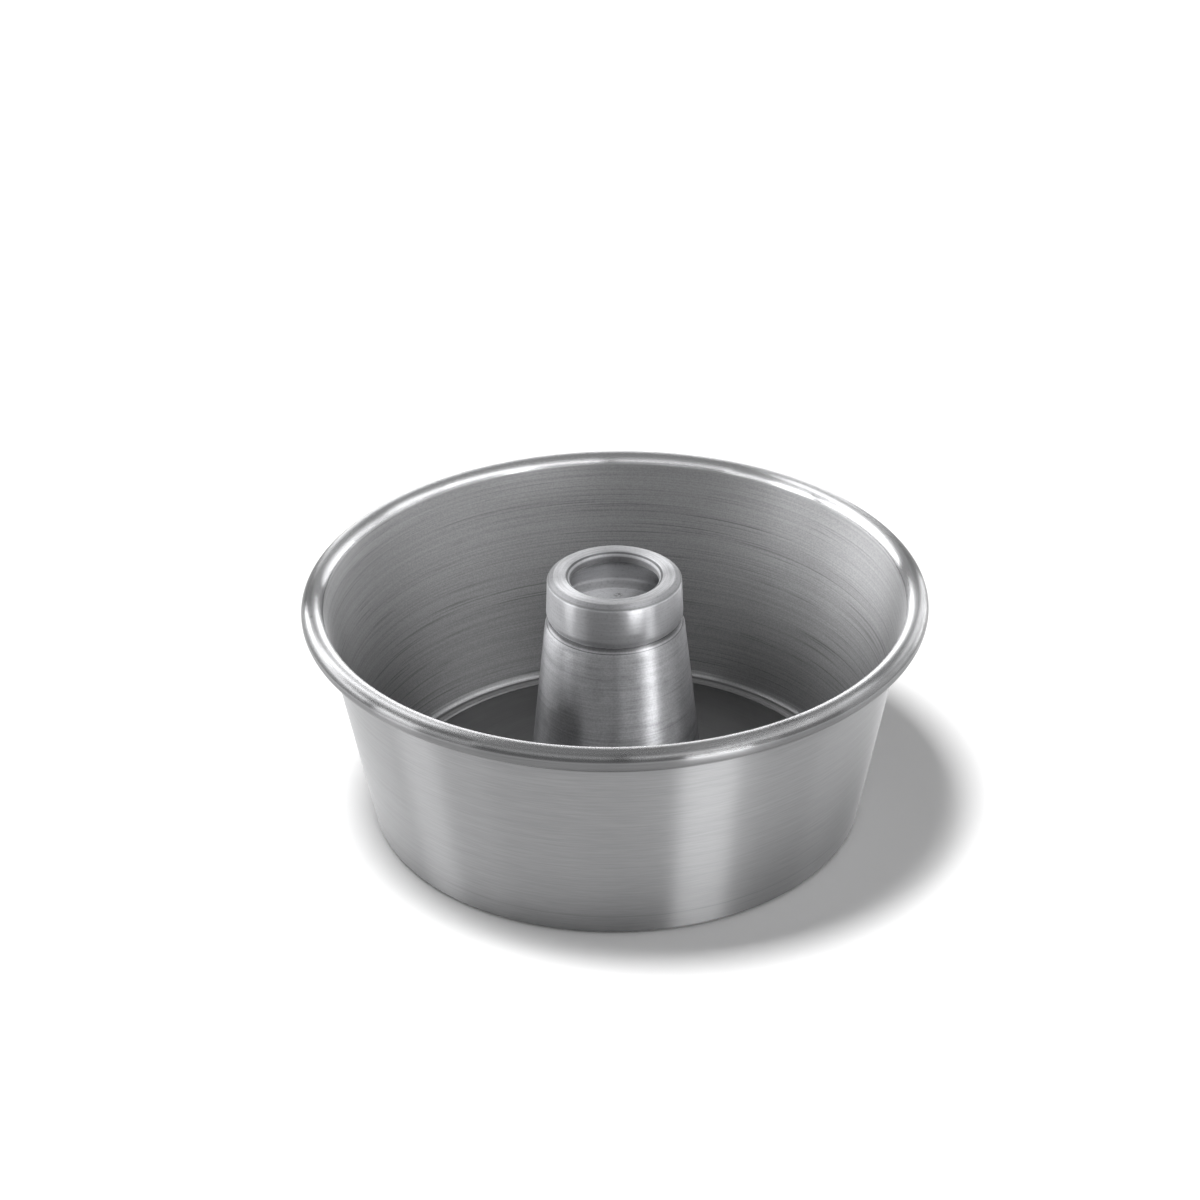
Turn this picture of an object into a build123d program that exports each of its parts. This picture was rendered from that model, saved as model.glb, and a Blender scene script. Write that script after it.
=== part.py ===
from build123d import *
import os
from math import asin, atan2, cos, degrees, hypot, pi, sin, tan

# Two-piece angel food cake pan in aluminium sheet, in millimetres.
# It stands on the plane z = 0 with its axis on Z. Every piece is a turned sheet: the line of
# one face, drawn as radius and height, is given the sheet's thickness and spun round the axis.

# Body ring: flared wall, hollow rolled rim and the ledge that carries the loose floor
rim_diameter = 274.0
rim_roll_diameter = 9.8
rim_roll_height = 102.2
rim_roll_gap = 0.15
floor_diameter = 216.6
ledge_width = 5.0
ledge_corner_radius = 2.0
body_sheet = 1.0

# Base plate: flange on the ledge, dished middle, raised boss and collar round the tube
plate_sheet = 1.0
flange_clearance = 0.4
dish_clearance = 0.4
dish_step_run = 1.0
dish_crest_radius = 1.3
dish_foot_radius = 0.5
table_clearance = 0.1
boss_step_run = 1.2
boss_step_radius = 0.4
collar_height = 1.8
collar_bend_radius = 1.2
collar_clearance = 0.05

# Centre tube: tapered, closed at the top, with a foot flange clinched under the boss
tube_sheet = 1.0
tube_foot_diameter = 80.8
tube_top_diameter = 61.3
tube_height = 91.5
tube_shoulder_radius = 3.5
foot_flange_width = 5.0
foot_bend_radius = 1.5
boss_clearance = 0.8

# Cup on the tube's closed top, with a flat top ring and a lip curled in and down
cup_sheet = 1.0
cup_height = 22.0
cup_base_diameter = 60.7
cup_base_radius = 5.0
cup_shoulder_diameter = 59.0
cup_chamfer_height = 1.9
cup_edge_radius = 1.3
cup_chamfer_run = 2.7
top_ring_width = 4.45
lip_roll_diameter = 5.7

# Angles, in degrees from the outward radius, where the lip's curl starts and its turn
lip_start = 90.0
lip_turn = 250.0


def sheet_section(face_line, thickness, side):
    """Section of a sheet whose one face follows face_line."""
    return make_face(offset(face_line, thickness, side=side))


def roll_section(center, radius, start, turn, thickness):
    """Section of a rolled edge, from the angle start through turn degrees, negative clockwise."""
    outer = CenterArc(center, radius, start, turn)
    inner = CenterArc(center, radius - thickness, start, turn)
    return make_face([outer, Line(outer @ 1, inner @ 1), inner, Line(inner @ 0, outer @ 0)])


def turned(section):
    """Spin a section, drawn as radius and height, round the axis."""
    return revolve(Plane.XZ * section, Axis.Z)


# Levels that the pieces share
ledge_top = body_sheet
flange_top = ledge_top + plate_sheet
floor_top = table_clearance + plate_sheet
boss_underside = table_clearance + tube_sheet
boss_top = boss_underside + plate_sheet
cup_seat = tube_height
overall_height = cup_seat + cup_height

# Radii that the pieces share
floor_radius = floor_diameter / 2
ledge_hole_radius = floor_radius - ledge_width
flange_radius = floor_radius - ledge_corner_radius - flange_clearance
tube_foot_radius = tube_foot_diameter / 2
tube_top_radius = tube_top_diameter / 2


def pan_body():
    """Wall with its rolled rim and inward ledge, drawn along the food side of the sheet."""
    roll_radius = rim_roll_diameter / 2
    roll_center_radius = rim_diameter / 2 - roll_radius

    # The wall runs from the ledge's corner to touch the roll on its inner side
    across = roll_center_radius - floor_radius
    rise = rim_roll_height - ledge_top
    reach = hypot(across, rise)
    wall_lean = atan2(across, rise) - asin(roll_radius / reach)
    touch = (
        roll_center_radius - roll_radius * cos(wall_lean),
        rim_roll_height + roll_radius * sin(wall_lean),
    )

    # The roll turns outwards until its free edge stands off the wall by the gap
    start = pi - wall_lean
    open_angle = atan2(
        (roll_radius**2 - (roll_radius - body_sheet - rim_roll_gap) ** 2) ** 0.5,
        roll_radius - body_sheet - rim_roll_gap,
    )
    turn = open_angle - 2 * pi

    wall = FilletPolyline(
        (ledge_hole_radius, ledge_top),
        (floor_radius, ledge_top),
        touch,
        radius=ledge_corner_radius,
    )
    roll_center = (roll_center_radius, rim_roll_height)
    roll = roll_section(roll_center, roll_radius, degrees(start), degrees(turn), body_sheet)
    return turned(sheet_section(wall, body_sheet, Side.RIGHT) + roll)


def tube_radius_at(height):
    """Outer radius of the tapered tube at a height above the table."""
    share = (height - boss_underside) / (tube_height - boss_underside)
    return tube_foot_radius + share * (tube_top_radius - tube_foot_radius)


def base_plate():
    """Loose floor, drawn along its upper face from the flange in to the tube's collar."""
    drop = flange_top - floor_top
    step_angle = atan2(drop, dish_step_run)
    crest_radius = ledge_hole_radius - dish_clearance - plate_sheet * tan(step_angle / 2)
    boss_radius = tube_foot_radius + foot_flange_width + boss_clearance
    taper = atan2(tube_foot_radius - tube_top_radius, tube_height - boss_underside)
    collar_offset = (collar_clearance + plate_sheet) / cos(taper)
    collar_top = boss_top + collar_height
    line = FilletPolyline(
        (flange_radius, flange_top),
        (crest_radius, flange_top),
        (crest_radius - dish_step_run, floor_top),
        (boss_radius + boss_step_run, floor_top),
        (boss_radius, boss_top),
        (tube_radius_at(boss_top) + collar_offset, boss_top),
        (tube_radius_at(collar_top) + collar_offset, collar_top),
        radius=[
            dish_crest_radius,
            dish_foot_radius,
            boss_step_radius,
            plate_sheet + boss_step_radius,
            collar_bend_radius,
        ],
    )
    return turned(sheet_section(line, plate_sheet, Side.LEFT))


def center_tube():
    """Tapered tube, drawn along its outer face from the closed top to the foot flange."""
    line = FilletPolyline(
        (0, tube_height),
        (tube_top_radius, tube_height),
        (tube_foot_radius, boss_underside),
        (tube_foot_radius + foot_flange_width, boss_underside),
        radius=[tube_shoulder_radius, foot_bend_radius],
    )
    return turned(sheet_section(line, tube_sheet, Side.RIGHT))


def tube_cup():
    """Cup with its lip turned in and curled, drawn along its outer face from the floor up."""
    roll_radius = lip_roll_diameter / 2
    shoulder_radius = cup_shoulder_diameter / 2
    top_ring_radius = shoulder_radius - cup_chamfer_run
    roll_center = (top_ring_radius - top_ring_width, overall_height - roll_radius)
    side = FilletPolyline(
        (0, cup_seat),
        (cup_base_diameter / 2, cup_seat),
        (shoulder_radius, overall_height - cup_chamfer_height),
        (top_ring_radius, overall_height),
        (roll_center[0], overall_height),
        radius=[cup_base_radius, cup_edge_radius, cup_edge_radius],
    )
    lip = roll_section(roll_center, roll_radius, lip_start, lip_turn, cup_sheet)
    return turned(sheet_section(side, cup_sheet, Side.LEFT) + lip)


parts = {
    "pan_body": pan_body(),
    "base_plate": base_plate(),
    "center_tube": center_tube(),
    "tube_cup": tube_cup(),
}

os.makedirs("parts", exist_ok=True)
for name, shape in parts.items():
    export_step(shape, f"parts/{name}.step")
    box = shape.bounding_box()
    print(f"{name}: {len(shape.solids())} solid, {shape.volume:.0f} mm3, z {box.min.Z:.2f} to {box.max.Z:.2f}")
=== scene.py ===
"""Looks of a two-piece angel food cake pan in bare aluminium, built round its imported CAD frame.

Every piece is a turned sheet. Its section line, drawn as radius and height in metres, is
worked up from a circle by extruding and scaling, and then gets the thickness of the sheet.
"""

from math import asin, atan2, ceil, cos, hypot, pi, radians, sin, tan

import bpy
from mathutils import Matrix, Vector


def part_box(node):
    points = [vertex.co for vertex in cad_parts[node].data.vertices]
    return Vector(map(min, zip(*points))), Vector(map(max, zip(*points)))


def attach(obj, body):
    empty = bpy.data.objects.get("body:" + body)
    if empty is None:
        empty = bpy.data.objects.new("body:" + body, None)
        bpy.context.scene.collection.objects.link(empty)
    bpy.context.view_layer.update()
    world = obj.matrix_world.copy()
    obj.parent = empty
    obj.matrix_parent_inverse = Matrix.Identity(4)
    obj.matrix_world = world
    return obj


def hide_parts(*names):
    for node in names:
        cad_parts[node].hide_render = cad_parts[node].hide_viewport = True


bl_info = {
    "name": "Angel Food Cake Pan",
    "version": (1, 0, 0),
    "blender": (4, 5, 0),
    "location": "View3D > Sidebar > Cake Pan",
    "description": "Builds the pieces, finishes and studio of a two-piece angel food cake pan",
    "category": "Add Mesh",
}

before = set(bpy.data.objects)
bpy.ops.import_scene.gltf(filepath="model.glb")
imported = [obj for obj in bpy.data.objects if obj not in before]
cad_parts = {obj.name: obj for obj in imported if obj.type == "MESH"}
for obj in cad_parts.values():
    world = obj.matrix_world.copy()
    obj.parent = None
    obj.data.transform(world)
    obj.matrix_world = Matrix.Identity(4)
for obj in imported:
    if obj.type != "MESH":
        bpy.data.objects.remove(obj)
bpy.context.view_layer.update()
body_low, body_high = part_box("pan_body")
plate_low, plate_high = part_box("base_plate")
tube_low, tube_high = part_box("center_tube")
cup_low, cup_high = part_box("tube_cup")

MILLIMETRE = 0.001
PIECES = ("spun_body", "loose_floor", "drawn_tube", "turned_cup")

# How finely the pieces are divided: round the axis, along an arc and along a straight run
TURN_STEPS = 256
ARC_STEP = radians(7.5)
LONG_RUN = 10 * MILLIMETRE
SHORT_RUN = 5 * MILLIMETRE
SMOOTH_ANGLE = radians(40)
WELD_GAP = 1e-6

# Circles round the axis that a finish or a painted shade follows, in metres
RIM_ROLL = {"radius": 0.1321, "height": 0.1022}
WALL_FOOT_LINE = {"radius": 0.1111, "height": 0.0102}
FLOOR_STEP = {"radius": 0.1018, "height": 0.0016}
TUBE_SHOULDER_LINE = {"radius": 0.0299, "height": 0.0904}
TUBE_CREASE = {"radius": 0.0280, "height": 0.0922}
CUP_BEVEL = {"radius": 0.0291, "height": 0.1120}
CUP_MOUTH = {"radius": 0.0208, "height": 0.1130}

# Where a finish or a painted shade sets in, in metres: nothing at the first height or radius, full
# at the second
BEAD_HEIGHT = (0.1022, 0.1036)
BEAD_SHADE_HEIGHT = (0.1052, 0.1042)
# Painted shade band round the rim's outer face
SHADED_BAND_FOOT = (0.1024, 0.1036)
SHADED_BAND_TOP = (0.1068, 0.1056)
RUBBED_HEIGHT = (0.1068, 0.1070)
# Painted shade in the crevice under the rim
CREVICE_HEIGHT = (0.0918, 0.0930)
CREVICE_RADIUS = (0.1315, 0.1295)
CREVICE_FADE = (0.0935, 0.0955)
WORN_HEIGHT = (0.1000, 0.0820)
LOWER_WALL_HEIGHT = (0.100, 0.020)
WALL_FOOT_HEIGHT = (0.0042, 0.0034)
FLANGE_RADIUS = (0.1020, 0.1028)
FLANGE_EDGE_RADIUS = (0.1038, 0.1048)
TUBE_SHOULDER_HEIGHT = (0.0875, 0.0890)
CUP_FLOOR_HEIGHT = (0.0945, 0.0925)
CUP_FLOOR_RADIUS = (0.027, 0.025)
WELL_HEIGHT = (0.1068, 0.1062)
WELL_RADIUS = (0.0290, 0.0286)
WELL_TOP_HEIGHT = (0.1018, 0.1034)
LIP_HEIGHT = (0.106, 0.107)
LIP_RADIUS = (0.0222, 0.0212)
LIP_FACE_HEIGHT = (0.1122, 0.1114)
TOP_RING_HEIGHT = (0.1125, 0.1130)
TOP_RING_RADIUS = (0.0272, 0.0262)
CUP_EDGE_HEIGHT = (0.1110, 0.1118)
CUP_EDGE_RADIUS = (0.0262, 0.0272)

# Places of the small marks on the rim, in metres
RIM_NICK = {"x": -0.1309, "y": -0.0229, "z": 0.1070}
RIM_RUB = {"x": 0.0695, "y": -0.1130, "z": 0.1072}

# Weld spots in the cup's floor, the first angle in degrees, the lengths in metres
SPOT_COUNT = 3
SPOT_START = 85
SPOT_RADIUS = 0.0191
SPOT_RISE = 0.0012

# Camera's sensor width in millimetres and nearest distance in metres
SENSOR_WIDTH = 36
NEAREST = 0.05

# Lamps on the pan: azimuth from +X and elevation in degrees, width and height in metres, radiance
PAN_LAMPS = {
    "right_low_strip": (-57, 4, 0.6, 0.24, 30.0),
    "right_low_side": (-42, 4, 0.3, 0.24, 5.0),
    "right_low_far": (20, 5, 1.9, 0.24, 4.4),
    "right_low_back": (45, 6, 0.8, 0.3, 4.0),
    "right_softbox": (-12, 20, 1.5, 0.5, 0.9),
    "right_high": (3, 38, 0.8, 0.5, 3.6),
    "front_right_side": (-30, 40, 0.8, 0.5, 4.7),
    "front_right_high": (-67, 38, 0.86, 0.5, 4.1),
    "front_left_high": (-117, 42, 1.2, 0.5, 2.4),
    "left_front_side": (-147, 20, 0.52, 0.5, 3.8),
    "left_side": (-167, 14, 0.52, 0.7, 8.8),
    "left_back_key": (153, 20, 1.5, 0.5, 7.4),
    "back_left_high": (130, 48, 0.6, 0.8, 3.8),
    "back_softbox": (93, 16, 1.0, 0.6, 3.5),
    "far_right": (40, 24, 1.3, 0.6, 1.8),
}

# Lamps on the named piece alone, for the bright band down the right of the tube and its cup
STRIP_LAMPS = {
    "drawn_tube": (-31, 42, 0.34, 0.9, 15.0),
    "turned_cup": (-32, 18, 0.26, 0.6, 8.5),
}

# Lamp on the floor, almost overhead, for the soft shadow at the pan's foot
FLOOR_LAMPS = {
    "floor_overhead": (-163, 78, 1.0, 1.0, 60.0),
}


# Properties: sizes and colours of the pieces


def length(name, description, default):
    """A length property, given in millimetres."""
    return bpy.props.FloatProperty(
        name=name,
        description=description,
        default=default * MILLIMETRE,
        min=0,
        precision=5,
        unit="LENGTH",
    )


def tone(name, description, default):
    """A colour property."""
    return bpy.props.FloatVectorProperty(
        name=name, description=description, default=default, size=3, subtype="COLOR", min=0, max=1
    )


class PanBodyProperties(bpy.types.PropertyGroup):
    """Sizes of the wall, its rim and its ledge"""

    rim_radius: bpy.props.FloatProperty(
        name="Rim radius",
        description="Radius over the rolled rim",
        default=body_high.x,
        unit="LENGTH",
    )
    height: bpy.props.FloatProperty(
        name="Height", description="Height over the rolled rim", default=body_high.z, unit="LENGTH"
    )
    roll_radius: length("Roll radius", "Outer radius of the rolled rim's tube", 4.9)
    roll_gap: length("Roll gap", "Gap between the roll's free edge and the wall", 0.15)
    floor_radius: length("Floor radius", "Radius where the wall meets the ledge", 108.3)
    ledge_width: length("Ledge width", "Width of the ledge under the loose floor", 5.0)
    corner_radius: length("Corner radius", "Inner radius between wall and ledge", 2.0)
    sheet: length("Sheet", "Thickness of the wall's sheet", 1.0)


class BasePlateProperties(bpy.types.PropertyGroup):
    """Sizes of the loose floor"""

    flange_radius: bpy.props.FloatProperty(
        name="Flange radius",
        description="Outer radius of the flange on the ledge",
        default=plate_high.x,
        unit="LENGTH",
    )
    flange_top: length("Flange top", "Height of the flange's upper face", 2.0)
    floor_top: length("Floor top", "Height of the dished floor's upper face", 1.1)
    crest_radius: length("Crest radius", "Radius of the circle where the dish begins", 102.52)
    step_run: length("Step run", "Run of the dish's step", 1.0)
    boss_radius: length("Boss radius", "Radius of the raised boss round the tube", 46.2)
    boss_run: length("Boss run", "Run of the boss's step", 1.2)
    boss_top: length("Boss top", "Height of the boss's upper face", 2.1)
    collar_foot: length("Collar foot", "Radius of the collar's outer face at the boss", 41.36)
    collar_head: length("Collar head", "Radius of the collar's outer face at its edge", 41.16)
    crest_round: length("Crest rounding", "Rounding where the dish begins", 1.3)
    dish_round: length("Dish rounding", "Rounding at the foot of the dish's step", 0.5)
    boss_foot_round: length("Boss foot rounding", "Rounding at the foot of the boss", 0.4)
    boss_round: length("Boss rounding", "Rounding at the top of the boss", 1.4)
    collar_bend: length("Collar bend", "Bend radius of the collar's foot", 1.2)
    sheet: length("Sheet", "Thickness of the plate", 1.0)


class CenterTubeProperties(bpy.types.PropertyGroup):
    """Sizes of the tapered tube"""

    top_radius: length("Top radius", "Outer radius of the tube at its closed top", 30.65)
    foot_radius: length("Foot radius", "Outer radius of the tube at its foot", 40.4)
    shoulder_radius: length("Shoulder radius", "Rounding between side and top", 3.5)
    foot_height: length("Foot height", "Height of the foot flange's upper face", 1.1)
    flange_width: length("Flange width", "Width of the foot flange under the plate", 5.0)
    foot_bend: length("Foot bend", "Bend radius of the foot flange", 1.5)
    sheet: length("Sheet", "Thickness of the tube", 1.0)


class TubeCupProperties(bpy.types.PropertyGroup):
    """Sizes of the cup on the tube"""

    base_radius: length("Base radius", "Outer radius at the cup's foot", 30.35)
    base_round: length("Base rounding", "Rounding of the cup's foot", 5.0)
    shoulder_radius: length("Shoulder radius", "Outer radius at the top bevel", 29.5)
    bevel_height: length("Bevel height", "Height of the bevel under the top ring", 1.9)
    bevel_run: length("Bevel run", "Run of the bevel under the top ring", 2.7)
    ring_width: length("Ring width", "Width of the flat top ring", 4.45)
    edge_round: length("Edge rounding", "Rounding of the bevel's edges", 1.3)
    roll_radius: length("Roll radius", "Outer radius of the curled lip", 2.85)
    roll_turn: bpy.props.FloatProperty(
        name="Roll turn",
        description="Turn of the curled lip, in degrees",
        default=250,
    )
    coin_radius: length("Coined circle", "Radius of the shallow circle in the floor", 24.7)
    coin_depth: length("Coin depth", "Depth of the shallow circle", 0.18)
    sheet: length("Sheet", "Thickness of the cup", 1.0)


class FinishProperties(bpy.types.PropertyGroup):
    """Colours of the bare metal"""

    body_color: tone("Body", "Colour of the pan's bare wall", (0.468, 0.47, 0.478))
    plate_color: tone("Plate", "Colour of the rolled plate", (0.53, 0.53, 0.538))
    tube_color: tone("Tube", "Colour of the tube", (0.520, 0.523, 0.541))
    cup_color: tone("Cup", "Colour of the cup", (0.715, 0.72, 0.742))


class StageProperties(bpy.types.PropertyGroup):
    """Floor, light and camera"""

    floor_color: tone("Floor", "Colour of the studio floor", (0.85, 0.85, 0.85))
    floor_size: bpy.props.FloatProperty(
        name="Floor size", description="Side of the studio floor", default=8.0, unit="LENGTH"
    )
    lens: bpy.props.FloatProperty(
        name="Lens", description="Focal length of the camera in millimetres", default=90.0
    )
    world_level: bpy.props.FloatProperty(
        name="World level", description="Level of the room round the table", default=0.4, min=0
    )
    lamp_distance: bpy.props.FloatProperty(
        name="Lamp distance", description="Distance of the lamps", default=1.6, unit="LENGTH"
    )
    floor_lamp_distance: bpy.props.FloatProperty(
        name="Floor lamp", description="Distance of the floor's lamp", default=4, unit="LENGTH"
    )
    camera_place: bpy.props.FloatVectorProperty(
        name="Camera place", description="Place of the camera", default=(0, -1.14549, 0.74691)
    )
    camera_turn: bpy.props.FloatVectorProperty(
        name="Camera turn",
        description="Turns of the camera in degrees",
        default=(60.574, 0.708, -0.079),
    )


# Section lines, drawn as radius and height


def arc(center, radius, start, turn):
    """Points of an arc, in radians from the outward radius, negative turns clockwise."""
    count = max(2, ceil(abs(turn) / ARC_STEP))
    return [
        (
            center[0] + radius * cos(start + turn * step / count),
            center[1] + radius * sin(start + turn * step / count),
        )
        for step in range(count + 1)
    ]


def rounded(corners, rounds):
    """A line through the corners, with an arc of the given radius at each inner one."""
    line = [corners[0]]
    for before, corner, after, radius in zip(corners, corners[1:], corners[2:], rounds):
        back = (Vector(before) - Vector(corner)).normalized()
        ahead = (Vector(after) - Vector(corner)).normalized()
        half = back.angle(ahead) / 2
        center = Vector(corner) + (back + ahead).normalized() * radius / sin(half)
        first = Vector(corner) + back * radius / tan(half) - center
        last = Vector(corner) + ahead * radius / tan(half) - center
        start = atan2(first.y, first.x)
        turn = (atan2(last.y, last.x) - start + pi) % (2 * pi) - pi
        line += arc(center, radius, start, turn)
    return line + [corners[-1]]


def divided(line, run):
    """The line with its long runs cut into stretches no longer than run."""
    points = [line[0]]
    for start, end in zip(line, line[1:]):
        parts = max(1, ceil(hypot(end[0] - start[0], end[1] - start[1]) / run))
        for part in range(1, parts + 1):
            share = part / parts
            points.append(tuple(a + share * (b - a) for a, b in zip(start, end)))
    return points


# Modelling


def turned_sheet(name, line, sheet, on_left):
    """Work the section line up into a turned sheet, its thickness to one side of the line."""
    if bpy.context.object and bpy.context.object.mode != "OBJECT":
        bpy.ops.object.mode_set(mode="OBJECT")
    bpy.ops.object.select_all(action="DESELECT")
    radius, height = line[0]
    closed = radius == 0
    if closed:
        line = line[1:]
        radius, height = line[0]
    bpy.ops.mesh.primitive_circle_add(
        vertices=TURN_STEPS,
        radius=radius,
        fill_type="TRIFAN" if closed else "NOTHING",
        location=(0, 0, height),
    )
    piece = bpy.context.object
    piece.name = piece.data.name = name
    bpy.ops.object.transform_apply(location=True, rotation=True, scale=True)
    bpy.ops.object.mode_set(mode="EDIT")
    bpy.ops.mesh.select_mode(type="EDGE")
    bpy.ops.mesh.select_all(action="SELECT")
    if closed:
        bpy.ops.mesh.region_to_loop()
    for next_radius, next_height in line[1:]:
        bpy.ops.mesh.extrude_edges_move(
            TRANSFORM_OT_translate={"value": (0, 0, next_height - height)}
        )
        scale = next_radius / radius
        bpy.ops.transform.resize(value=(scale, scale, 1), center_override=(0, 0, next_height))
        radius, height = next_radius, next_height
    bpy.ops.mesh.select_all(action="SELECT")
    bpy.ops.mesh.remove_doubles(threshold=WELD_GAP)
    bpy.ops.mesh.normals_make_consistent(inside=False)
    bpy.ops.object.mode_set(mode="OBJECT")
    (radius, height), (next_radius, next_height) = line[:2]
    first = ((radius + next_radius) / 2, (height + next_height) / 2)
    face = min(
        piece.data.polygons,
        key=lambda face: hypot(hypot(*face.center.xy) - first[0], face.center.z - first[1]),
    )
    outward = Vector((*face.center.xy, 0)).normalized()
    left = outward * (height - next_height) + Vector((0, 0, next_radius - radius))
    wall = piece.modifiers.new("Sheet", "SOLIDIFY")
    wall.thickness = sheet
    wall.offset = 1 if (face.normal.dot(left) > 0) == on_left else -1
    wall.use_even_offset = True
    wall.use_quality_normals = True
    bpy.ops.object.modifier_apply(modifier=wall.name)
    bpy.ops.object.shade_smooth_by_angle(angle=SMOOTH_ANGLE)
    return piece


def settle(piece, node, body, material):
    """Give a finished piece its material and its place in the frame."""
    piece.data.materials.clear()
    piece.data.materials.append(material)
    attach(piece, body)
    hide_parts(node)


# Materials


def node(tree, kind, inputs=None, **settings):
    """Add a node with its settings, and link or set its inputs."""
    added = tree.nodes.new(kind)
    for key, value in settings.items():
        setattr(added, key, value)
    for socket, value in (inputs or {}).items():
        if isinstance(value, bpy.types.NodeSocket):
            tree.links.new(value, added.inputs[socket])
        else:
            added.inputs[socket].default_value = value
    return added


def maths(tree, operation, *values):
    """Output of a math node on the given values or sockets."""
    return node(tree, "ShaderNodeMath", dict(enumerate(values)), operation=operation).outputs[0]


def both(tree, *masks):
    """Product of masks, which is one only where all of them are."""
    product = masks[0]
    for mask in masks[1:]:
        product = maths(tree, "MULTIPLY", product, mask)
    return product


def inverse(tree, mask):
    """One where the mask is nothing, and nothing where it is one."""
    return maths(tree, "SUBTRACT", 1.0, mask)


def ramp(tree, value, low, high, start=0.0, end=1.0):
    """Value turned from start at low into end at high, smoothly and no further."""
    inputs = {"Value": value, "From Min": low, "From Max": high, "To Min": start, "To Max": end}
    spread = node(tree, "ShaderNodeMapRange", inputs, interpolation_type="SMOOTHSTEP")
    return spread.outputs["Result"]


def new_group(name, inputs, outputs):
    """A shader node group, with its input and output nodes."""
    group = bpy.data.node_groups.new(name, "ShaderNodeTree")
    for title, default in inputs.items():
        socket = group.interface.new_socket(title, in_out="INPUT", socket_type="NodeSocketFloat")
        socket.default_value = default
    for title in outputs:
        group.interface.new_socket(title, in_out="OUTPUT", socket_type="NodeSocketFloat")
    source = node(group, "NodeGroupInput")
    sink = node(group, "NodeGroupOutput")
    return group, source.outputs, sink.inputs


def turned_place(tree):
    """Radius, height and level direction of a place on a turned piece."""
    place = node(tree, "ShaderNodeTexCoord").outputs["Object"]
    height = node(tree, "ShaderNodeSeparateXYZ", {0: place}).outputs["Z"]
    level = node(tree, "ShaderNodeVectorMath", {0: place, 1: (1, 1, 0)}, operation="MULTIPLY")
    radius = node(tree, "ShaderNodeVectorMath", {0: level.outputs[0]}, operation="LENGTH")
    ray = node(tree, "ShaderNodeVectorMath", {0: level.outputs[0]}, operation="NORMALIZE")
    return radius.outputs["Value"], height, ray.outputs["Vector"]


def turning_lines_group():
    """Noise drawn out round the axis, as left by a tool on a turning sheet."""
    inputs = {"Around": 3.0, "Pitch": 0.001, "Seed": 0.0}
    group, given, result = new_group("turning_lines", inputs, ["Value"])
    radius, height, ray = turned_place(group)
    stretched = {0: ray, "Scale": given["Around"]}
    spread = node(group, "ShaderNodeVectorMath", stretched, operation="SCALE")
    up = maths(group, "DIVIDE", height, given["Pitch"])
    out = maths(group, "DIVIDE", radius, given["Pitch"])
    level = node(group, "ShaderNodeCombineXYZ", {"Z": up})
    vector = node(group, "ShaderNodeVectorMath", {0: spread.outputs[0], 1: level.outputs[0]})
    settings = {
        "Vector": vector.outputs[0],
        "W": maths(group, "ADD", out, given["Seed"]),
        "Scale": 1,
        "Detail": 2,
        "Roughness": 0.6,
    }
    noise = node(group, "ShaderNodeTexNoise", settings, noise_dimensions="4D")
    group.links.new(noise.outputs[0], result["Value"])
    return group


def ring_group():
    """One near a circle round the axis, fading to nothing away from it."""
    inputs = {"Radius": 0.1, "Height": 0.0, "Near": 0.001, "Far": 0.002}
    group, given, result = new_group("ring", inputs, ["Value"])
    radius, height, _ = turned_place(group)
    away = maths(group, "SUBTRACT", radius, given["Radius"])
    above = maths(group, "SUBTRACT", height, given["Height"])
    span = node(group, "ShaderNodeCombineXYZ", {"X": away, "Y": above})
    gap = node(group, "ShaderNodeVectorMath", {0: span.outputs[0]}, operation="LENGTH")
    mask = ramp(group, gap.outputs["Value"], given["Near"], given["Far"], 1.0, 0.0)
    group.links.new(mask, result["Value"])
    return group


def spot_group():
    """One near a point, fading to nothing away from it."""
    inputs = {"X": 0.0, "Y": 0.0, "Z": 0.0, "Near": 0.001, "Far": 0.002}
    group, given, result = new_group("spot", inputs, ["Value"])
    place = node(group, "ShaderNodeTexCoord").outputs["Object"]
    point = node(group, "ShaderNodeCombineXYZ", {axis: given[axis] for axis in "XYZ"}).outputs[0]
    gap = node(group, "ShaderNodeVectorMath", {0: place, 1: point}, operation="DISTANCE")
    mask = ramp(group, gap.outputs["Value"], given["Near"], given["Far"], 1.0, 0.0)
    group.links.new(mask, result["Value"])
    return group


def inner_face_group():
    """One on faces that look at the axis, nothing on faces that look away from it."""
    group, _, result = new_group("inner_face", {}, ["Value"])
    _, _, ray = turned_place(group)
    normal = node(group, "ShaderNodeTexCoord").outputs["Normal"]
    facing = node(group, "ShaderNodeVectorMath", {0: normal, 1: ray}, operation="DOT_PRODUCT")
    mask = ramp(group, facing.outputs["Value"], -0.2, 0.2, 1.0, 0.0)
    group.links.new(mask, result["Value"])
    return group


GROUP_MAKERS = {
    "turning_lines": turning_lines_group,
    "ring": ring_group,
    "spot": spot_group,
    "inner_face": inner_face_group,
}


def effect(tree, name, **inputs):
    """Output of a shared effect, whose group is made when it is first asked for."""
    group = bpy.data.node_groups.get(name) or GROUP_MAKERS[name]()
    used = node(tree, "ShaderNodeGroup", node_tree=group)
    for title, value in inputs.items():
        used.inputs[title.capitalize()].default_value = value
    return used.outputs[0]


def grains(tree, scale, detail=2):
    """Noise that is the same in every direction."""
    place = node(tree, "ShaderNodeTexCoord").outputs["Object"]
    settings = {"Vector": place, "Scale": scale, "Detail": detail}
    return node(tree, "ShaderNodeTexNoise", settings).outputs[0]


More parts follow.
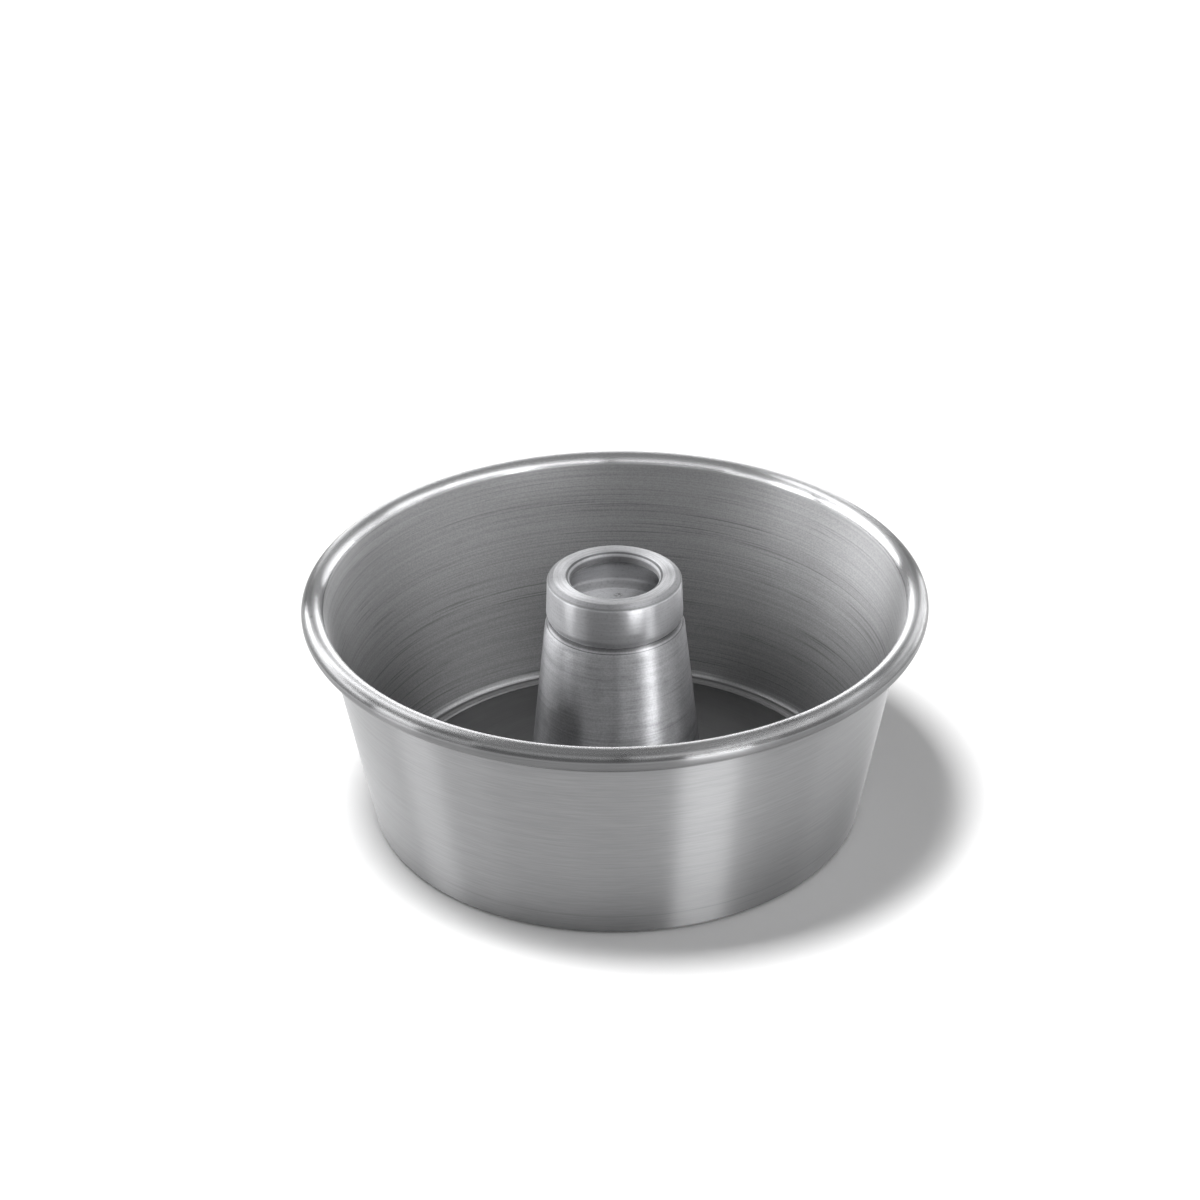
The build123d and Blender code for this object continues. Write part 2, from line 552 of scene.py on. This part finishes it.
def bare_metal(name, color, roughness, anisotropic):
    """Bare aluminium, its gloss drawn out across the turning lines."""
    material = bpy.data.materials.new(name)
    material.use_nodes = True
    shader = material.node_tree.nodes["Principled BSDF"]
    shader.inputs["Base Color"].default_value = (*color, 1)
    shader.inputs["Metallic"].default_value = 1
    shader.inputs["Roughness"].default_value = roughness
    shader.inputs["Anisotropic"].default_value = anisotropic
    shader.inputs["Anisotropic Rotation"].default_value = 0.25
    return material


def streaked(tree, color, marks):
    """Metal colour darkened by marks, each a mask and the depth of its shade."""
    shade = 1.0
    for mask, depth in marks:
        loss = maths(tree, "MULTIPLY", mask, depth)
        shade = maths(tree, "MULTIPLY", shade, maths(tree, "SUBTRACT", 1.0, loss))
    mixed = node(tree, "ShaderNodeMix", data_type="RGBA")
    tree.links.new(shade, mixed.inputs[0])
    mixed.inputs[6].default_value = (0, 0, 0, 1)
    mixed.inputs[7].default_value = (*color, 1)
    return mixed.outputs[2]


def relief(tree, height, depth):
    """Normal bent by a height map, as deep as depth over the map's whole range."""
    inputs = {"Height": height, "Distance": depth, "Strength": 1.0}
    return node(tree, "ShaderNodeBump", inputs).outputs["Normal"]


def finish_metal(material, color, roughness, normal):
    """Link the worked-out colour, roughness and normal to a material's shader."""
    tree = material.node_tree
    shader = tree.nodes["Principled BSDF"]
    tree.links.new(color, shader.inputs["Base Color"])
    tree.links.new(roughness, shader.inputs["Roughness"])
    tree.links.new(normal, shader.inputs["Normal"])
    return material


def body_metal(color):
    """Spun sheet: fine lines all over, dark scuffed streaks inside, a smoother rolled rim, and
    painted shade on the outer face, on the rim and under it.
    """
    material = bare_metal("spun_body", color, 0.42, 1.0)
    tree = material.node_tree
    radius, height, _ = turned_place(tree)
    hair = effect(tree, "turning_lines", around=1.2, pitch=0.0006, seed=2.0)
    scratch = effect(tree, "turning_lines", around=1.3, pitch=0.0010, seed=7.0)
    patch = effect(tree, "turning_lines", around=2.2, pitch=0.03, seed=9.0)
    brushed = effect(tree, "turning_lines", around=9.0, pitch=0.0005, seed=13.0)
    grain = grains(tree, 1500)

    # Regions: the bead is the upper part of the roll, and the plain sheet is all the rest
    inside = effect(tree, "inner_face")
    outside = inverse(tree, inside)
    roll = effect(tree, "ring", **RIM_ROLL, near=0.0050, far=0.0056)
    bead = both(tree, roll, ramp(tree, height, *BEAD_HEIGHT))
    plain = inverse(tree, bead)
    food_side = both(tree, inside, plain)
    plain_outside = both(tree, outside, plain)
    bead_outside = both(tree, bead, outside)
    # Painted shade on the outer underside of the roll
    shaded_underside = both(tree, maths(tree, "SUBTRACT", roll, bead), outside)
    foot = both(tree, food_side, ramp(tree, height, *WALL_FOOT_HEIGHT))
    lower = maths(tree, "SUBTRACT", ramp(tree, height, *LOWER_WALL_HEIGHT), foot)
    # Painted shade in the crevice between the rolled rim and the wall, fading up the wall
    crevice = ramp(tree, height, *CREVICE_HEIGHT)
    crevice = both(tree, crevice, ramp(tree, radius, *CREVICE_RADIUS))

    # Marks in the metal, and shades that stand for what the rim reflects in the photo
    fine = ramp(tree, hair, 0.3, 0.7)
    brush = ramp(tree, brushed, 0.35, 0.65)
    worn = both(tree, ramp(tree, scratch, 0.54, 0.66), ramp(tree, patch, 0.38, 0.58))
    worn = both(tree, worn, ramp(tree, height, *WORN_HEIGHT, 0.35, 1.0))
    # Painted shade: a dark band round the rim's outer face, standing in for a darker reflection
    # and damping a lamp's highlight
    shaded_band = both(tree, ramp(tree, height, *SHADED_BAND_FOOT), ramp(tree, height, *SHADED_BAND_TOP))
    crease_shade = both(tree, crevice, ramp(tree, height, *CREVICE_FADE, 1.0, 0.4))
    scribed = effect(tree, "ring", **WALL_FOOT_LINE, near=0.0001, far=0.0006)
    nick = effect(tree, "spot", **RIM_NICK, near=0.0003, far=0.0010)
    rubbed = effect(tree, "spot", **RIM_RUB, near=0.0040, far=0.0110)
    rubbed = both(tree, rubbed, ramp(tree, height, *RUBBED_HEIGHT), ramp(tree, grain, 0.46, 0.54))
    marks = [
        (both(tree, worn, food_side), 0.30),
        # The food side darker towards its foot
        (both(tree, lower, food_side), 0.26),
        # Painted shade: the whole outer face of the wall darker than the food side, standing in
        # for darker surroundings in its reflection
        (plain_outside, 0.39),
        (both(tree, fine, food_side), 0.10),
        (both(tree, fine, plain), 0.06),
        (both(tree, brush, plain_outside), 0.09),
        # Painted shade band on the rim
        (both(tree, shaded_band, bead_outside), 0.56),
        # Painted shade in the crevice under the rim
        (both(tree, crease_shade, outside), 0.85),
        # Painted shade on the rim's outer half, deepest over its lower part, against the lamps'
        # highlights there
        (bead_outside, 0.30),
        (both(tree, bead_outside, ramp(tree, height, *BEAD_SHADE_HEIGHT)), 0.26),
        # Painted shade on the roll's underside
        (shaded_underside, 0.36),
        (scribed, 0.12),
        (nick, 0.5),
        (rubbed, 0.45),
        (both(tree, ramp(tree, grain, 0.38, 0.62), food_side), 0.14),
    ]

    # The food side is rougher, apart from the wall's foot, and the bead is the smoothest
    roughness = ramp(tree, hair, 0.3, 0.7, 0.39, 0.42)
    rougher = both(tree, maths(tree, "SUBTRACT", food_side, foot), 0.28)
    smoother = maths(tree, "ADD", both(tree, bead, 0.15), both(tree, plain_outside, 0.07))
    roughness = maths(tree, "SUBTRACT", maths(tree, "ADD", roughness, rougher), smoother)
    bumps = both(tree, maths(tree, "ADD", hair, scratch), food_side)
    normal = relief(tree, bumps, 0.00002)
    return finish_metal(material, streaked(tree, color, marks), roughness, normal)


def plate_metal(color):
    """Rolled sheet: smooth, with faint turning lines, a duller flange, and painted shade at the
    dish's step and at the flange's outer edge.
    """
    material = bare_metal("rolled_plate", color, 0.33, 0.3)
    tree = material.node_tree
    radius = turned_place(tree)[0]
    hair = effect(tree, "turning_lines", around=1.2, pitch=0.0012, seed=11.0)
    band = effect(tree, "turning_lines", around=2.0, pitch=0.02, seed=5.0)
    flange = ramp(tree, radius, *FLANGE_RADIUS)
    # Painted shade at the flange's outer edge, in the gap by the wall
    flange_gap_shade = ramp(tree, radius, *FLANGE_EDGE_RADIUS)
    # Painted shade at the dish's step
    step = effect(tree, "ring", **FLOOR_STEP, near=0.0006, far=0.0012)
    marks = [
        (inverse(tree, flange), 0.30),
        (ramp(tree, hair, 0.3, 0.7), 0.06),
        (ramp(tree, band, 0.35, 0.65), 0.10),
        # Painted shade at the step and at the flange's outer edge
        (step, 0.50),
        (flange_gap_shade, 0.45),
    ]
    rougher = both(tree, flange, 0.25)
    roughness = maths(tree, "ADD", ramp(tree, band, 0.3, 0.7, 0.30, 0.37), rougher)
    normal = relief(tree, hair, 0.00001)
    return finish_metal(material, streaked(tree, color, marks), roughness, normal)


def tube_metal(color):
    """Drawn sheet: strong turning lines, cloudy patches of wear and painted shade in the crease
    under the cup.
    """
    material = bare_metal("drawn_tube", color, 0.42, 1.0)
    tree = material.node_tree
    height = turned_place(tree)[1]
    hair = effect(tree, "turning_lines", around=1.2, pitch=0.0007, seed=21.0)
    streak = effect(tree, "turning_lines", around=1.3, pitch=0.0022, seed=17.0)
    cloud = grains(tree, 90, 3)
    grain = grains(tree, 1300)
    scribed = effect(tree, "ring", **TUBE_SHOULDER_LINE, near=0.0001, far=0.0004)
    # Painted shade in the crease under the cup
    crease_shade = effect(tree, "ring", **TUBE_CREASE, near=0.0010, far=0.0020)
    marks = [
        (ramp(tree, hair, 0.3, 0.7), 0.18),
        (ramp(tree, streak, 0.48, 0.68), 0.16),
        (ramp(tree, cloud, 0.45, 0.75), 0.20),
        (scribed, 0.5),
        # Painted shade in the crease
        (crease_shade, 0.5),
        (ramp(tree, grain, 0.40, 0.62), 0.14),
    ]
    shoulder = both(tree, ramp(tree, height, *TUBE_SHOULDER_HEIGHT), 0.12)
    roughness = maths(tree, "ADD", ramp(tree, cloud, 0.35, 0.7, 0.40, 0.46), shoulder)
    normal = relief(tree, maths(tree, "ADD", hair, streak), 0.00002)
    return finish_metal(material, streaked(tree, color, marks), roughness, normal)


def weld_spots(tree):
    """One on each of the weld spots round the cup's floor."""
    welds = 0.0
    for turn in range(SPOT_COUNT):
        angle = radians(SPOT_START + 360 / SPOT_COUNT * turn)
        place = {
            "x": SPOT_RADIUS * cos(angle),
            "y": SPOT_RADIUS * sin(angle),
            "z": cup_low.z + SPOT_RISE,
        }
        spot = effect(tree, "spot", **place, near=0.0008, far=0.0026)
        welds = maths(tree, "ADD", welds, spot)
    return welds


def cup_metal(color):
    """Turned sheet: concentric lines on the top ring, rough weld spots in the floor, and painted
    shade on the bevel, the curled lip, the mouth's edge and under the lip.
    """
    material = bare_metal("turned_cup", color, 0.40, 0.9)
    tree = material.node_tree
    radius, height, _ = turned_place(tree)
    hair = effect(tree, "turning_lines", around=1.6, pitch=0.0007, seed=31.0)
    grain = grains(tree, 900)

    # Regions, from the floor up through the well and the curled lip to the top ring
    floor = ramp(tree, height, *CUP_FLOOR_HEIGHT)
    floor = both(tree, floor, ramp(tree, radius, *CUP_FLOOR_RADIUS))
    well = both(tree, ramp(tree, height, *WELL_HEIGHT), ramp(tree, radius, *WELL_RADIUS))
    # Painted shade on the well's wall just under the curled lip
    under_lip_shade = both(tree, well, ramp(tree, height, *WELL_TOP_HEIGHT))
    lip = both(tree, ramp(tree, height, *LIP_HEIGHT), ramp(tree, radius, *LIP_RADIUS))
    # Painted shade on the lip's inner face
    shaded_lip_face = both(tree, lip, ramp(tree, height, *LIP_FACE_HEIGHT))
    ring = both(tree, ramp(tree, height, *TOP_RING_HEIGHT), ramp(tree, radius, *TOP_RING_RADIUS))
    # Painted shade on the bevel's upper edge, against its highlights
    edge = both(tree, ramp(tree, height, *CUP_EDGE_HEIGHT), ramp(tree, radius, *CUP_EDGE_RADIUS))
    # Painted shade on the bevel under the top ring
    bevel = effect(tree, "ring", **CUP_BEVEL, near=0.0002, far=0.0007)
    # Painted shade: a dark line round the mouth's inner edge
    mouth_shade = effect(tree, "ring", **CUP_MOUTH, near=0.0003, far=0.0007)
    marks = [
        (both(tree, weld_spots(tree), ramp(tree, grain, 0.42, 0.55)), 0.45),
        (inverse(tree, floor), 0.26),
        (ramp(tree, hair, 0.3, 0.7), 0.12),
        (ramp(tree, grain, 0.5, 0.75), 0.12),
        # Painted shade on the bevel, the lip's face, the mouth's edge, under the lip and on the
        # bevel's upper edge
        (bevel, 0.2),
        (shaded_lip_face, 0.60),
        (mouth_shade, 0.60),
        (under_lip_shade, 0.55),
        (edge, 0.30),
        (both(tree, ring, ramp(tree, hair, 0.42, 0.58)), 0.12),
    ]
    rougher = both(tree, maths(tree, "ADD", well, maths(tree, "ADD", lip, edge)), 0.28)
    roughness = maths(tree, "ADD", ramp(tree, grain, 0.35, 0.7, 0.37, 0.43), rougher)
    normal = relief(tree, maths(tree, "ADD", hair, grain), 0.00002)
    return finish_metal(material, streaked(tree, color, marks), roughness, normal)


# Operators, one for each piece and one for the studio


class CAKEPAN_OT_body(bpy.types.Operator):
    """Build the wall with its rolled rim and ledge"""

    bl_idname = "cakepan.body"
    bl_label = "Pan Body"

    def execute(self, context):
        size = context.scene.pan_body
        roll_height = size.height - size.roll_radius
        roll_center = (size.rim_radius - size.roll_radius, roll_height)

        # The wall runs up to touch the roll, which turns out and round to face it again
        across = roll_center[0] - size.floor_radius
        rise = roll_height - size.sheet
        lean = atan2(across, rise) - asin(size.roll_radius / hypot(across, rise))
        near = size.roll_radius - size.sheet - size.roll_gap
        open_angle = atan2((size.roll_radius**2 - near**2) ** 0.5, near)
        roll = arc(roll_center, size.roll_radius, pi - lean, open_angle - 2 * pi)
        line = rounded(
            [
                (size.floor_radius - size.ledge_width, size.sheet),
                (size.floor_radius, size.sheet),
                roll[0],
            ],
            [size.corner_radius],
        )
        line = divided(line, LONG_RUN)
        piece = turned_sheet("spun_body", line + roll[1:], size.sheet, False)
        metal = body_metal(context.scene.pan_finish.body_color)
        settle(piece, "pan_body", "body_ring", metal)
        return {"FINISHED"}


class CAKEPAN_OT_plate(bpy.types.Operator):
    """Build the loose floor with its flange, dish, boss and collar"""

    bl_idname = "cakepan.plate"
    bl_label = "Base Plate"

    def execute(self, context):
        size = context.scene.base_plate
        line = rounded(
            [
                (size.flange_radius, size.flange_top),
                (size.crest_radius, size.flange_top),
                (size.crest_radius - size.step_run, size.floor_top),
                (size.boss_radius + size.boss_run, size.floor_top),
                (size.boss_radius, size.boss_top),
                (size.collar_foot, size.boss_top),
                (size.collar_head, plate_high.z),
            ],
            [
                size.crest_round,
                size.dish_round,
                size.boss_foot_round,
                size.boss_round,
                size.collar_bend,
            ],
        )
        piece = turned_sheet("loose_floor", divided(line, LONG_RUN), size.sheet, True)
        metal = plate_metal(context.scene.pan_finish.plate_color)
        settle(piece, "base_plate", "insert", metal)
        return {"FINISHED"}


class CAKEPAN_OT_tube(bpy.types.Operator):
    """Build the tapered tube with its closed top and foot flange"""

    bl_idname = "cakepan.tube"
    bl_label = "Center Tube"

    def execute(self, context):
        size = context.scene.center_tube
        line = rounded(
            [
                (0, tube_high.z),
                (size.top_radius, tube_high.z),
                (size.foot_radius, size.foot_height),
                (size.foot_radius + size.flange_width, size.foot_height),
            ],
            [size.shoulder_radius, size.foot_bend],
        )
        piece = turned_sheet("drawn_tube", divided(line, LONG_RUN), size.sheet, False)
        metal = tube_metal(context.scene.pan_finish.tube_color)
        settle(piece, "center_tube", "insert", metal)
        return {"FINISHED"}


class CAKEPAN_OT_cup(bpy.types.Operator):
    """Build the cup on the tube with its flat ring and curled lip"""

    bl_idname = "cakepan.cup"
    bl_label = "Tube Cup"

    def execute(self, context):
        size = context.scene.tube_cup
        ring_radius = size.shoulder_radius - size.bevel_run
        roll_center = (ring_radius - size.ring_width, cup_high.z - size.roll_radius)
        side = rounded(
            [
                (0, cup_low.z + size.coin_depth),
                (size.coin_radius, cup_low.z + size.coin_depth),
                (size.coin_radius + 2 * size.coin_depth, cup_low.z),
                (size.base_radius, cup_low.z),
                (size.shoulder_radius, cup_high.z - size.bevel_height),
                (ring_radius, cup_high.z),
                (roll_center[0], cup_high.z),
            ],
            [size.coin_depth, size.coin_depth, size.base_round, size.edge_round, size.edge_round],
        )
        lip = arc(roll_center, size.roll_radius, pi / 2, radians(size.roll_turn))
        line = divided(side, SHORT_RUN) + lip[1:]
        piece = turned_sheet("turned_cup", line, size.sheet, True)
        metal = cup_metal(context.scene.pan_finish.cup_color)
        settle(piece, "tube_cup", "insert", metal)
        return {"FINISHED"}


def soft_lamp(name, azimuth, elevation, width, height, radiance, distance, lit):
    """Add a lamp that looks at the pan from one side and lights only some of the objects."""
    level = cos(radians(elevation))
    away = Vector((level * cos(radians(azimuth)), level * sin(radians(azimuth)), 0))
    away.z = sin(radians(elevation))
    turn = away.to_track_quat("Z", "Y").to_euler()
    bpy.ops.object.light_add(type="AREA", location=away * distance, rotation=turn)
    lamp = bpy.context.object
    lamp.name = lamp.data.name = name
    lamp.data.shape = "RECTANGLE"
    lamp.data.size = width
    lamp.data.size_y = height
    lamp.data.energy = pi * width * height * radiance
    lamp.visible_camera = False
    receivers = bpy.data.collections.new(name)
    for item in lit:
        receivers.objects.link(item)
    lamp.light_linking.receiver_collection = receivers


class CAKEPAN_OT_stage(bpy.types.Operator):
    """Set the floor, the studio light and the camera"""

    bl_idname = "cakepan.stage"
    bl_label = "Studio"

    def execute(self, context):
        size = context.scene.pan_stage
        bpy.ops.object.select_all(action="DESELECT")
        bpy.ops.mesh.primitive_plane_add(size=size.floor_size, location=(0, 0, 0))
        floor = context.object
        floor.name = "studio_floor"
        paper = bpy.data.materials.new("studio_floor")
        paper.use_nodes = True
        shader = paper.node_tree.nodes["Principled BSDF"]
        shader.inputs["Base Color"].default_value = (*size.floor_color, 1)
        shader.inputs["Roughness"].default_value = 1
        shader.inputs["Specular IOR Level"].default_value = 0
        floor.data.materials.append(paper)

        pan = [bpy.data.objects[name] for name in PIECES]
        for name, lamp in PAN_LAMPS.items():
            soft_lamp(name, *lamp, size.lamp_distance, pan)
        for name, lamp in STRIP_LAMPS.items():
            soft_lamp(name + "_strip", *lamp, size.lamp_distance, [bpy.data.objects[name]])
        for name, lamp in FLOOR_LAMPS.items():
            soft_lamp(name, *lamp, size.floor_lamp_distance, [floor])

        world = bpy.data.worlds.new("studio")
        world.use_nodes = True
        room = world.node_tree.nodes["Background"]
        room.inputs["Color"].default_value = (1, 1, 1, 1)
        room.inputs["Strength"].default_value = size.world_level
        context.scene.world = world
        context.scene.view_settings.view_transform = "Standard"

        bpy.ops.object.camera_add(
            location=size.camera_place, rotation=[radians(angle) for angle in size.camera_turn]
        )
        camera = context.object
        camera.name = "photo_camera"
        camera.data.lens = size.lens
        camera.data.sensor_width = SENSOR_WIDTH
        camera.data.clip_start = NEAREST
        context.scene.camera = camera
        return {"FINISHED"}


class CAKEPAN_PT_panel(bpy.types.Panel):
    """Pieces of the cake pan"""

    bl_idname = "CAKEPAN_PT_panel"
    bl_label = "Angel Food Cake Pan"
    bl_space_type = "VIEW_3D"
    bl_region_type = "UI"
    bl_category = "Cake Pan"

    def draw(self, context):
        for name, operator in STEPS.items():
            box = self.layout.box()
            box.operator(operator)
            settings = getattr(context.scene, name)
            for prop in settings.bl_rna.properties:
                if prop.identifier not in {"rna_type", "name"}:
                    box.prop(settings, prop.identifier)


GROUPS = {
    "pan_finish": FinishProperties,
    "pan_body": PanBodyProperties,
    "base_plate": BasePlateProperties,
    "center_tube": CenterTubeProperties,
    "tube_cup": TubeCupProperties,
    "pan_stage": StageProperties,
}
STEPS = {
    "pan_body": "cakepan.body",
    "base_plate": "cakepan.plate",
    "center_tube": "cakepan.tube",
    "tube_cup": "cakepan.cup",
    "pan_stage": "cakepan.stage",
}
OPERATORS = (
    CAKEPAN_OT_body,
    CAKEPAN_OT_plate,
    CAKEPAN_OT_tube,
    CAKEPAN_OT_cup,
    CAKEPAN_OT_stage,
)


def register():
    """Add the settings, the operators and the panel."""
    for name, group in GROUPS.items():
        bpy.utils.register_class(group)
        setattr(bpy.types.Scene, name, bpy.props.PointerProperty(type=group))
    for operator in OPERATORS:
        bpy.utils.register_class(operator)
    bpy.utils.register_class(CAKEPAN_PT_panel)


def unregister():
    """Take the settings, the operators and the panel away again."""
    bpy.utils.unregister_class(CAKEPAN_PT_panel)
    for operator in reversed(OPERATORS):
        bpy.utils.unregister_class(operator)
    for name, group in reversed(GROUPS.items()):
        delattr(bpy.types.Scene, name)
        bpy.utils.unregister_class(group)


def main():
    """Build the pan and its studio."""
    register()
    bpy.ops.cakepan.body()
    bpy.ops.cakepan.plate()
    bpy.ops.cakepan.tube()
    bpy.ops.cakepan.cup()
    bpy.ops.cakepan.stage()


if __name__ == "__main__":
    main()
